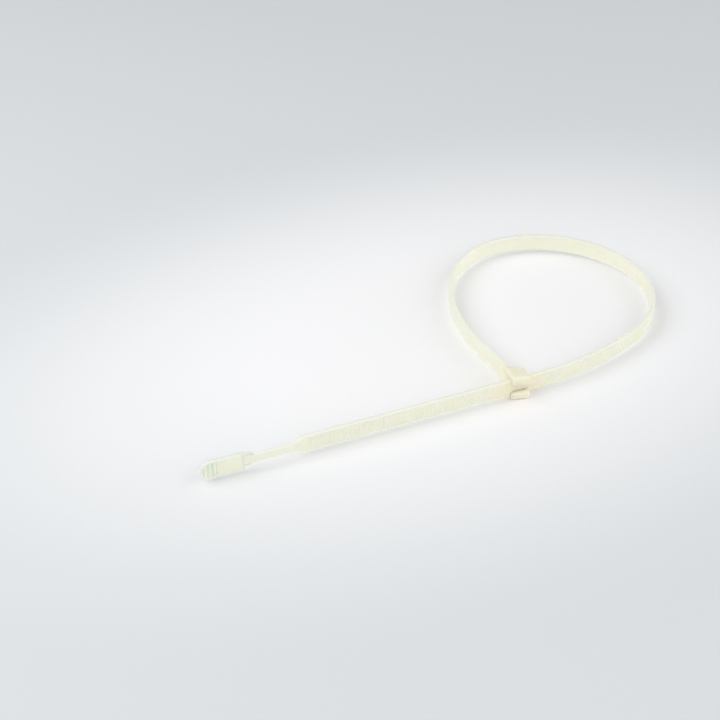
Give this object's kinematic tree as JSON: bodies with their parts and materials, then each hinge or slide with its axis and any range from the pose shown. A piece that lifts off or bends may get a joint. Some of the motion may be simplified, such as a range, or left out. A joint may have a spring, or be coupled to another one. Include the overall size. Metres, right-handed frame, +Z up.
{
  "type": "cable tie",
  "caption": "Nylon cable tie threaded through its own head into a loop, with a toothed and railed strap, a thin neck and a ribbed pull tab.",
  "frame": {"origin": "on the head's underside, below the middle of the strand that runs through the head", "axes": "+X along the strand from the pull tab through the head, +Y from the head's open nose towards the loop, +Z up, across the width of the strap"},
  "size_m": [0.1317, 0.057, 0.007],
  "materials": {
    "nylon": "satin natural nylon, slightly translucent"
  },
  "bodies": {
    "root": {"cable_tie": "nylon"}
  },
  "joints": []
}
